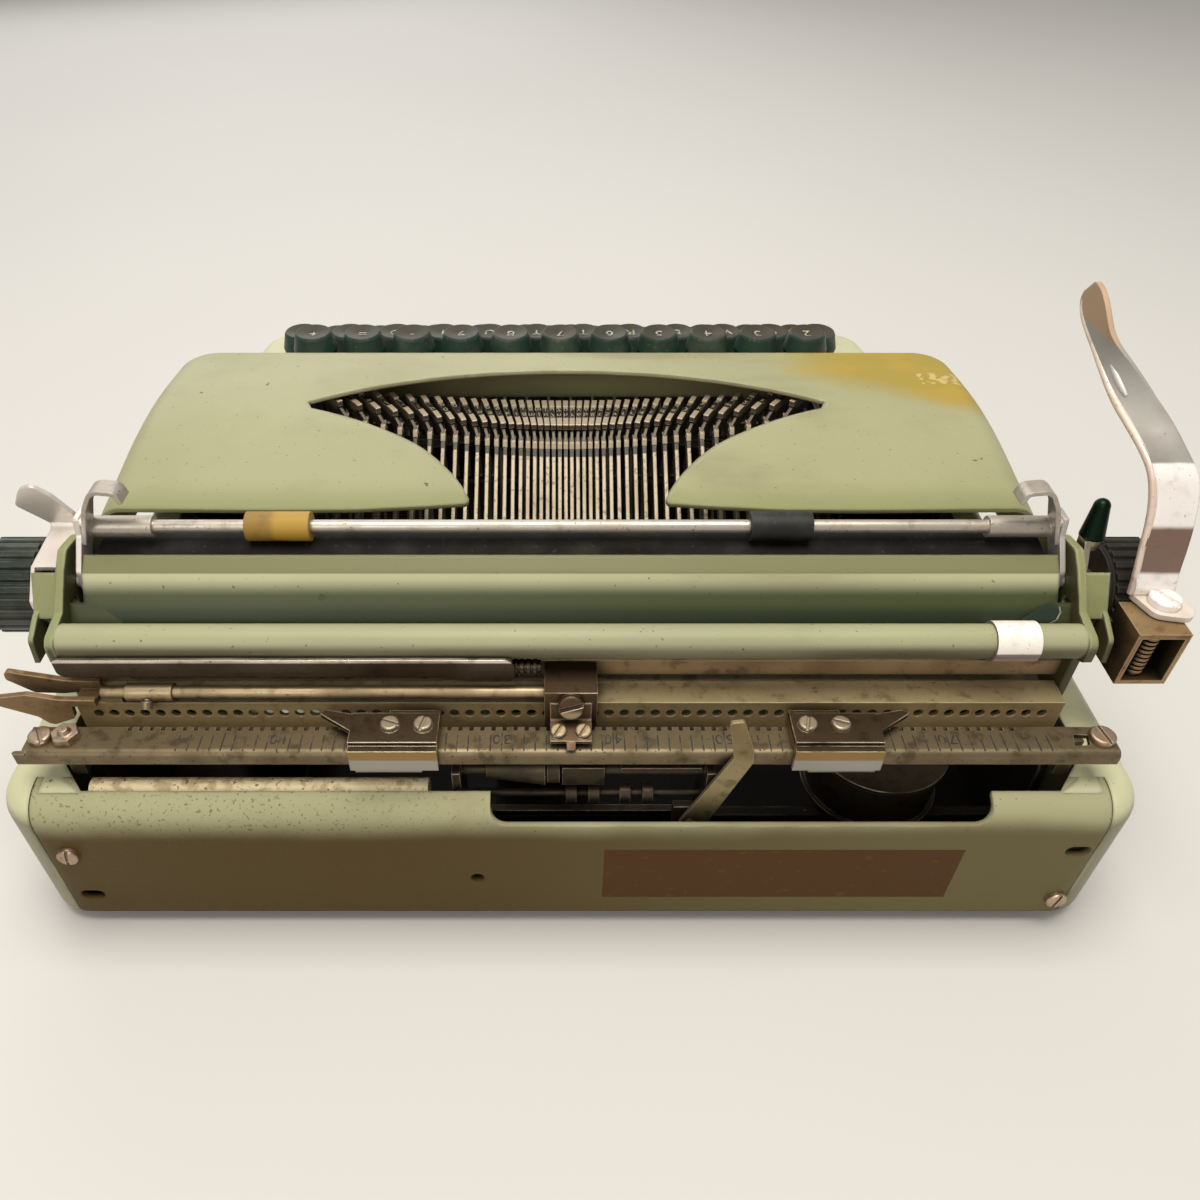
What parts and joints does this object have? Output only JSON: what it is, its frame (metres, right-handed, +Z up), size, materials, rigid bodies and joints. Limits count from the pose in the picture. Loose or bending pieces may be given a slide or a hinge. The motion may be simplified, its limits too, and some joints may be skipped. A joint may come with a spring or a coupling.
{
  "type": "portable typewriter",
  "caption": "Flat portable typewriter: green metal casing, keyboard, fan of typebars under a crescent opening, sliding carriage with platen, return lever and margin stops.",
  "frame": {"origin": "middle of the machine's bounding box, on the surface its feet stand on", "axes": "+X to the typist's right, +Y away from the typist towards the rear panel, +Z up"},
  "size_m": [0.2877, 0.2976, 0.136],
  "materials": {
    "green_paint": "satin, aged",
    "black_paint": "satin",
    "screw_steel": "worn",
    "tarnished_steel": "tarnished",
    "type_steel": "worn",
    "segment_iron": "matt",
    "aged_brass": "tarnished",
    "chrome": "polished",
    "key_plastic": "satin",
    "knob_plastic": "satin",
    "platen_rubber": "matt",
    "bail_rubber": "matt",
    "foot_rubber": "matt",
    "felt": "worn"
  },
  "bodies": {
    "machine": {"lower_casing": "green_paint", "rear_panel": "green_paint", "top_cover": "green_paint", "rear_panel_screws": "screw_steel", "margin_rack_screws": "screw_steel", "rubber_feet": "foot_rubber", "base_plate": "black_paint", "chassis_frame": "black_paint", "carriage_track": "tarnished_steel", "typebars": "type_steel", "segment": "segment_iron", "segment_wire": "tarnished_steel", "type_guide": "tarnished_steel", "type_rest": "felt", "key_fulcrum_shaft": "tarnished_steel", "key_comb": "tarnished_steel", "margin_rack": "tarnished_steel", "felt_strip": "felt", "tabulator_parts": "aged_brass", "bell": "chrome"},
    "strike_typebar": {"strike_typebar": "type_steel"},
    "number_row": {"number_row_keys": "key_plastic"},
    "upper_row": {"upper_row_keys": "key_plastic"},
    "middle_row": {"middle_row_keys": "key_plastic"},
    "lower_row": {"lower_row_keys": "key_plastic"},
    "striking_key": {"striking_key": "key_plastic"},
    "back_space_key": {"back_space_key": "key_plastic"},
    "shift_keys": {"shift_keys": "key_plastic"},
    "space_bar": {"space_bar": "key_plastic"},
    "margin_stop_left": {"margin_stop_left": "tarnished_steel"},
    "margin_stop_right": {"margin_stop_right": "tarnished_steel"},
    "mainspring_drum": {"mainspring_drum": "tarnished_steel"},
    "escapement_wheel": {"escapement_wheel": "aged_brass"},
    "escapement_rocker": {"escapement_rocker": "tarnished_steel"},
    "line_lock_arm": {"line_lock_arm": "tarnished_steel"},
    "ribbon_spool_left": {"ribbon_spool_left": "black_paint"},
    "ribbon_spool_right": {"ribbon_spool_right": "black_paint"},
    "carriage": {"carriage_rail": "aged_brass", "centre_stop": "tarnished_steel", "release_rod": "tarnished_steel", "release_fingers": "aged_brass"},
    "platen_frame": {"end_plate_left": "green_paint", "end_plate_right": "green_paint", "frame_bars": "tarnished_steel", "paper_table": "green_paint", "rear_tube": "green_paint", "tube_clip": "chrome", "release_link": "chrome", "return_lever_bracket": "aged_brass"},
    "platen": {"platen": "platen_rubber", "platen_shaft": "tarnished_steel", "knob_left": "knob_plastic", "knob_right": "knob_plastic"},
    "feed_rollers": {"feed_rollers": "platen_rubber"},
    "paper_bail": {"paper_bail": "chrome"},
    "bail_roller_left": {"bail_roller_left": "bail_rubber"},
    "bail_roller_right": {"bail_roller_right": "bail_rubber"},
    "paper_release_lever": {"paper_release_lever": "chrome"},
    "carriage_release_lever": {"carriage_release_lever": "chrome"},
    "return_lever": {"return_lever": "chrome"}
  },
  "joints": [
    {"name": "carriage_slide", "type": "slide", "parent": "machine", "child": "carriage", "axis": [1, 0, 0], "range_m": [-0.0448, 0.0242]},
    {"name": "carriage_lift", "type": "slide", "parent": "carriage", "child": "platen_frame", "axis": [0, 0, 1], "range_m": [0, 0.006]},
    {"name": "platen_turn", "type": "hinge", "parent": "platen_frame", "child": "platen", "pos_m": [0, 0.098, 0.0745], "axis": [1, 0, 0], "continuous": true},
    {"name": "feed_roller_turn", "type": "hinge", "parent": "platen_frame", "child": "feed_rollers", "pos_m": [0, 0.108, 0.0602], "axis": [1, 0, 0], "continuous": true},
    {"name": "bail_swing", "type": "hinge", "parent": "platen_frame", "child": "paper_bail", "pos_m": [0, 0.1055, 0.082], "axis": [-1, 0, 0], "range_deg": [0, 50]},
    {"name": "bail_roller_left_turn", "type": "hinge", "parent": "paper_bail", "child": "bail_roller_left", "pos_m": [-0.0501, 0.098, 0.0926], "axis": [1, 0, 0], "continuous": true},
    {"name": "bail_roller_right_turn", "type": "hinge", "parent": "paper_bail", "child": "bail_roller_right", "pos_m": [0.06955, 0.098, 0.0926], "axis": [1, 0, 0], "continuous": true},
    {"name": "paper_release", "type": "hinge", "parent": "platen_frame", "child": "paper_release_lever", "pos_m": [-0.1216, 0.106, 0.0816], "axis": [1, 0, 0], "range_deg": [0, 25]},
    {"name": "carriage_release", "type": "hinge", "parent": "platen_frame", "child": "carriage_release_lever", "pos_m": [0.124, 0.1103, 0.079], "axis": [-1, 0, 0], "range_deg": [0, 8], "stiffness_Nm_per_rad": 0.1, "springref_deg": -11.46},
    {"name": "return_lever_swing", "type": "hinge", "parent": "platen_frame", "child": "return_lever", "pos_m": [-0.1386, 0.1142, 0.0818], "axis": [0, 0, 1], "range_deg": [0, 30], "stiffness_Nm_per_rad": 0.05, "springref_deg": -11.46},
    {"name": "margin_stop_right_slide", "type": "slide", "parent": "machine", "child": "margin_stop_right", "axis": [1, 0, 0], "range_m": [0, 0.056]},
    {"name": "margin_stop_left_slide", "type": "slide", "parent": "machine", "child": "margin_stop_left", "axis": [-1, 0, 0], "range_m": [0, 0.04]},
    {"name": "drum_turn", "type": "hinge", "parent": "machine", "child": "mainspring_drum", "pos_m": [-0.08, 0.12, 0.034], "axis": [0, 0, 1], "range_deg": [-158, 90]},
    {"name": "escapement_turn", "type": "hinge", "parent": "machine", "child": "escapement_wheel", "pos_m": [0.012, 0.12, 0.0434], "axis": [0, 1, 0], "range_deg": [-324, 176]},
    {"name": "number_row_press", "type": "hinge", "parent": "machine", "child": "number_row", "pos_m": [0, 0.062, 0.014], "axis": [1, 0, 0], "range_deg": [0, 5.7], "stiffness_Nm_per_rad": 0.4, "springref_deg": -22.92},
    {"name": "upper_row_press", "type": "hinge", "parent": "machine", "child": "upper_row", "pos_m": [0, 0.062, 0.014], "axis": [1, 0, 0], "range_deg": [0, 4.9], "stiffness_Nm_per_rad": 0.4, "springref_deg": -22.92},
    {"name": "middle_row_press", "type": "hinge", "parent": "machine", "child": "middle_row", "pos_m": [0, 0.062, 0.014], "axis": [1, 0, 0], "range_deg": [0, 4.3], "stiffness_Nm_per_rad": 0.4, "springref_deg": -22.92},
    {"name": "lower_row_press", "type": "hinge", "parent": "machine", "child": "lower_row", "pos_m": [0, 0.062, 0.014], "axis": [1, 0, 0], "range_deg": [0, 3.8], "stiffness_Nm_per_rad": 0.4, "springref_deg": -22.92},
    {"name": "striking_key_press", "type": "hinge", "parent": "machine", "child": "striking_key", "pos_m": [0, 0.062, 0.014], "axis": [1, 0, 0], "range_deg": [0, 4.35], "stiffness_Nm_per_rad": 0.1, "springref_deg": -22.92},
    {"name": "typebar_swing", "type": "hinge", "parent": "machine", "child": "strike_typebar", "pos_m": [0, 0.041, 0.022], "axis": [-1, 0, 0], "range_deg": [0, 94]},
    {"name": "rocker_tilt", "type": "hinge", "parent": "machine", "child": "escapement_rocker", "pos_m": [-0.003, 0.118, 0.034], "axis": [0, -1, 0], "range_deg": [0, 5]},
    {"name": "back_space_press", "type": "hinge", "parent": "machine", "child": "back_space_key", "pos_m": [0, 0.062, 0.014], "axis": [1, 0, 0], "range_deg": [0, 4.9], "stiffness_Nm_per_rad": 0.1, "springref_deg": -22.92},
    {"name": "space_bar_press", "type": "hinge", "parent": "machine", "child": "space_bar", "pos_m": [0, 0.062, 0.014], "axis": [1, 0, 0], "range_deg": [0, 2.4], "stiffness_Nm_per_rad": 0.3, "springref_deg": -22.92},
    {"name": "shift_press", "type": "hinge", "parent": "machine", "child": "shift_keys", "pos_m": [0, 0.062, 0.014], "axis": [1, 0, 0], "range_deg": [0, 4.2]},
    {"name": "line_lock_swing", "type": "hinge", "parent": "machine", "child": "line_lock_arm", "pos_m": [-0.029, 0.1424, 0.037], "axis": [0, 1, 0], "range_deg": [0, 6]},
    {"name": "ribbon_spool_left_turn", "type": "hinge", "parent": "machine", "child": "ribbon_spool_left", "pos_m": [-0.1058, 0.019, 0.052], "axis": [0, 0, 1], "continuous": true},
    {"name": "ribbon_spool_right_turn", "type": "hinge", "parent": "machine", "child": "ribbon_spool_right", "pos_m": [0.1058, 0.019, 0.052], "axis": [0, 0, 1], "continuous": true}
  ],
  "couplings": [
    {"joint": "shift_press", "follows": "carriage_lift", "rad_per_m": 11.3},
    {"joint": "feed_roller_turn", "follows": "platen_turn", "ratio": -5.8},
    {"joint": "drum_turn", "follows": "carriage_slide", "rad_per_m": 60.6},
    {"joint": "escapement_turn", "follows": "carriage_slide", "rad_per_m": 125},
    {"joint": "typebar_swing", "follows": "striking_key_press", "ratio": 21.45},
    {"joint": "rocker_tilt", "follows": "striking_key_press", "ratio": 1}
  ]
}
